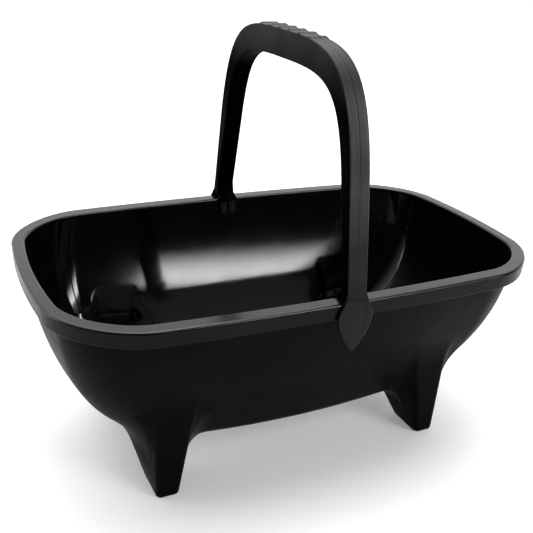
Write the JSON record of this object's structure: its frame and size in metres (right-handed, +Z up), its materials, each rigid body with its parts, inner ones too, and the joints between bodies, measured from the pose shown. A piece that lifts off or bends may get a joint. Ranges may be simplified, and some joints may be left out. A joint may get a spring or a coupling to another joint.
{
  "type": "carrying tub",
  "caption": "Black moulded plastic tub on short tapered legs, with a wide rolled rim and an arched bail handle that clips over the long sides.",
  "frame": {"origin": "on the ground under the middle of the tub", "axes": "+X along the tub's length, -Y the front, +Z up"},
  "size_m": [0.48, 0.294, 0.394],
  "materials": {
    "tub_gloss": "black polypropylene, mirror gloss inside and fine satin outside",
    "tub_satin": "black polypropylene, fine satin moulded skin",
    "handle_satin": "black polypropylene, satin with faint lengthwise flow marks"
  },
  "bodies": {
    "tub": {"bowl": "tub_gloss", "rim": "tub_satin", "leg_front_left": "tub_satin", "leg_front_right": "tub_satin", "leg_rear_left": "tub_satin", "leg_rear_right": "tub_satin"},
    "handle": {"handle_grip": "handle_satin", "handle_arm_front": "handle_satin", "handle_arm_rear": "handle_satin", "clip_plate_front": "handle_satin", "clip_plate_rear": "handle_satin", "snap_tongue_front": "handle_satin", "snap_tongue_rear": "handle_satin"}
  },
  "joints": [
    {"name": "handle_lift", "type": "slide", "parent": "tub", "child": "handle", "axis": [0, 0, 1], "range_m": [0, 0.06]}
  ]
}
